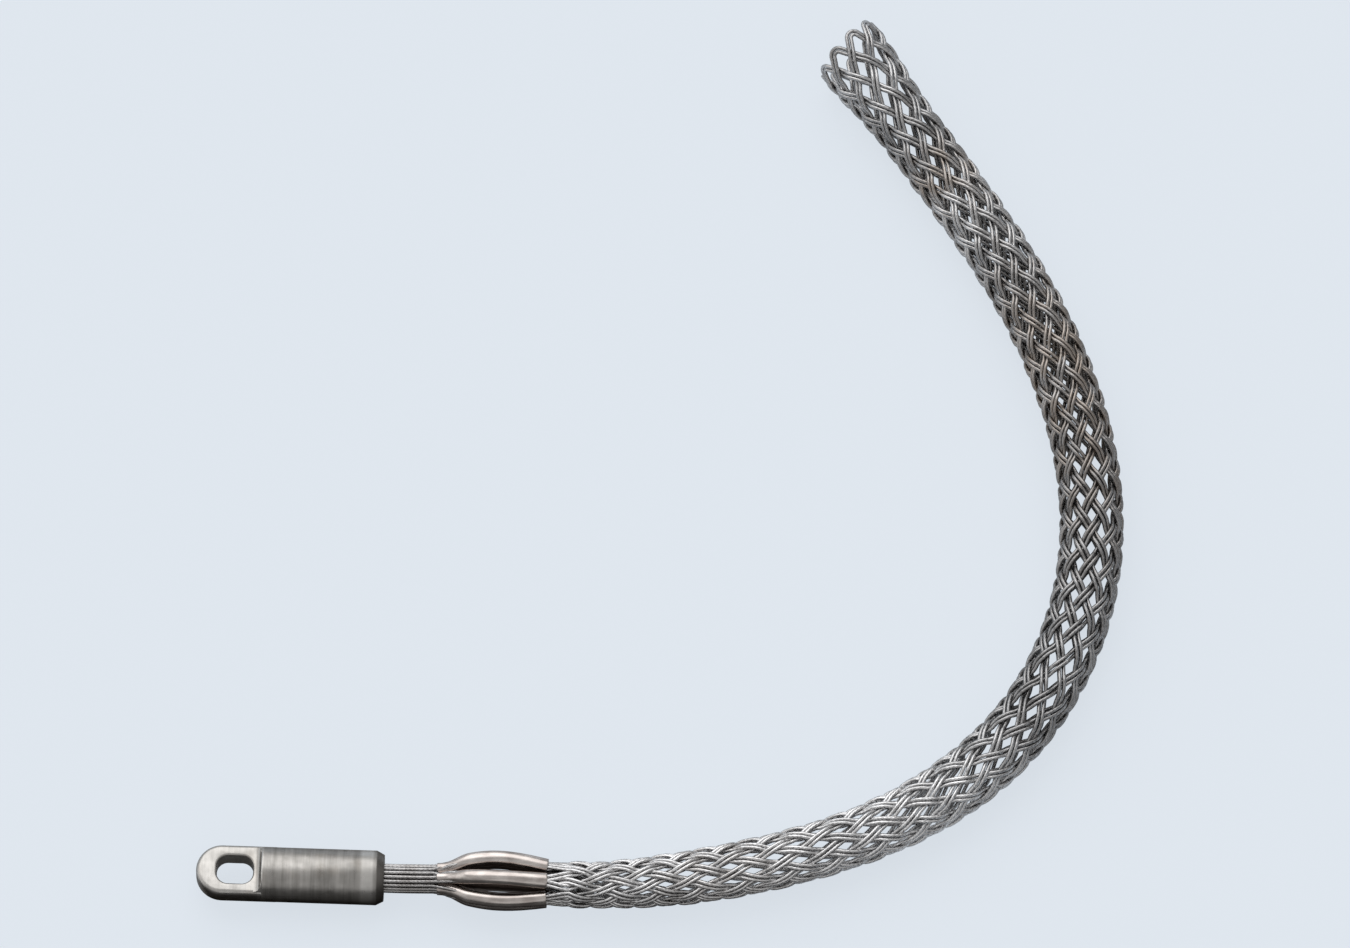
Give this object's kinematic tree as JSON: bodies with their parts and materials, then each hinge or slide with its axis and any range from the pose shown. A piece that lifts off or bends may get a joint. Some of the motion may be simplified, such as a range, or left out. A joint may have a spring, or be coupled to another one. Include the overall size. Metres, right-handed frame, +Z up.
{
  "type": "cable pulling grip",
  "caption": "Woven wire cable grip with a slotted steel pulling eye, a bundled neck and sleeved strands that open into a long tubular mesh.",
  "frame": {"origin": "middle of the grip's outline on the surface it lies on", "axes": "+X along the eye's axis from the eye to the mesh, +Z up from the surface, +Y towards the side that the mesh curves to"},
  "size_m": [0.2372, 0.2488, 0.0202],
  "materials": {
    "eye_steel": "satin warm grey plated steel with fine marks across the bar",
    "sleeve_steel": "smooth bright drawn sleeve with soft lengthwise streaks",
    "strand_steel": "galvanised round wire, grey with bright flanks and a few brown tints"
  },
  "bodies": {
    "root": {"pulling_eye": "eye_steel", "strand_sleeve_1": "sleeve_steel", "strand_sleeve_2": "sleeve_steel", "strand_sleeve_3": "sleeve_steel", "strand_sleeve_4": "sleeve_steel", "strand_sleeve_5": "sleeve_steel", "strand_sleeve_6": "sleeve_steel", "strand_loop_1": "strand_steel", "strand_loop_2": "strand_steel", "strand_loop_3": "strand_steel", "strand_loop_4": "strand_steel", "strand_loop_5": "strand_steel", "strand_loop_6": "strand_steel", "strand_loop_7": "strand_steel", "strand_loop_8": "strand_steel", "strand_loop_9": "strand_steel"}
  },
  "joints": []
}
